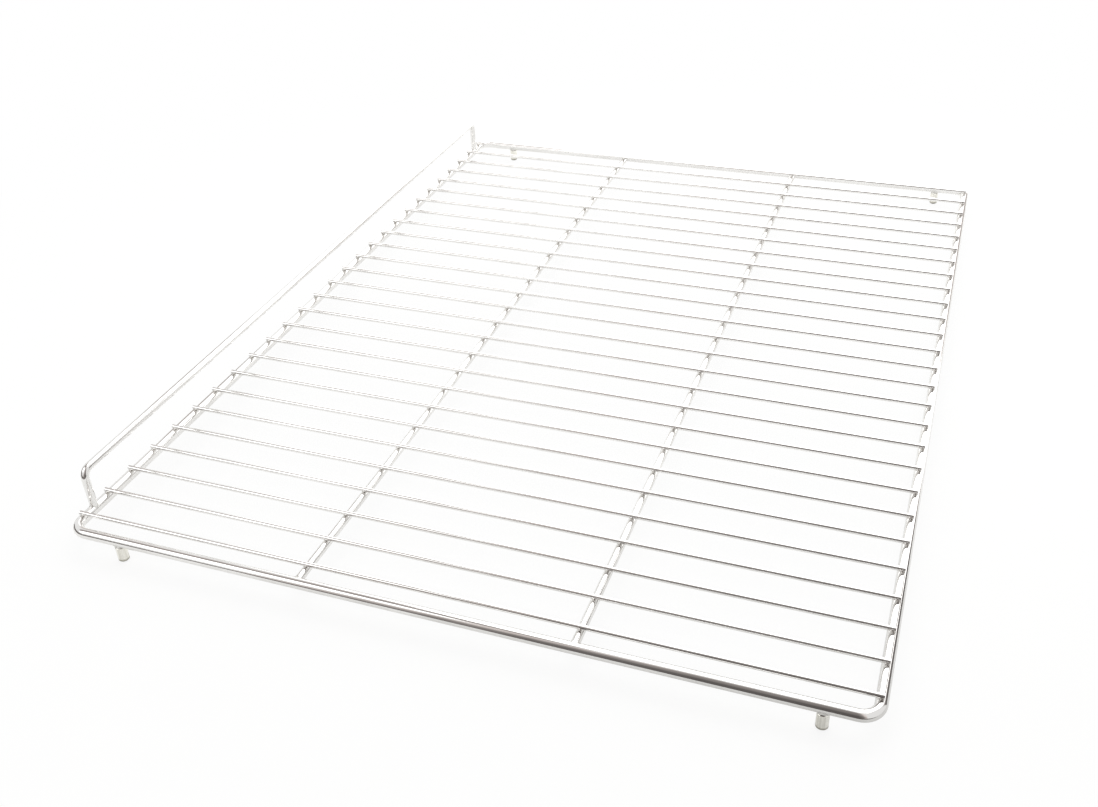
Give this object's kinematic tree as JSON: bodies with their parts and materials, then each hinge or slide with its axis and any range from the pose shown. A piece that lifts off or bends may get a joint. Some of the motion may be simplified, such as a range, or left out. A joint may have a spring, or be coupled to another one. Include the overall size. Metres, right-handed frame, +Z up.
{
  "type": "refrigerator shelf",
  "caption": "Rectangular welded wire shelf for a refrigerator: bent rod frame, thin cross wires over stringers, a low rear guard rail and short legs.",
  "frame": {"origin": "on the floor under the leg tips, below the middle of the frame", "axes": "+Z up; X along the cross wires, the guard at -X (rear) and the loading side at +X; Y along the long sides"},
  "size_m": [0.462, 0.626, 0.0431],
  "materials": {
    "bright_plating": "bright chrome plate over drawn steel wire"
  },
  "bodies": {
    "root": {"frame": "bright_plating", "cross_wire_01": "bright_plating", "cross_wire_02": "bright_plating", "cross_wire_03": "bright_plating", "cross_wire_04": "bright_plating", "cross_wire_05": "bright_plating", "cross_wire_06": "bright_plating", "cross_wire_07": "bright_plating", "cross_wire_08": "bright_plating", "cross_wire_09": "bright_plating", "cross_wire_10": "bright_plating", "cross_wire_11": "bright_plating", "cross_wire_12": "bright_plating", "cross_wire_13": "bright_plating", "cross_wire_14": "bright_plating", "cross_wire_15": "bright_plating", "cross_wire_16": "bright_plating", "cross_wire_17": "bright_plating", "cross_wire_18": "bright_plating", "cross_wire_19": "bright_plating", "cross_wire_20": "bright_plating", "cross_wire_21": "bright_plating", "cross_wire_22": "bright_plating", "cross_wire_23": "bright_plating", "cross_wire_24": "bright_plating", "cross_wire_25": "bright_plating", "cross_wire_26": "bright_plating", "cross_wire_27": "bright_plating", "stringer_rear": "bright_plating", "stringer_front": "bright_plating", "rear_guard": "bright_plating", "leg_rear_left": "bright_plating", "leg_rear_right": "bright_plating", "leg_front_left": "bright_plating", "leg_front_right": "bright_plating"}
  },
  "joints": []
}
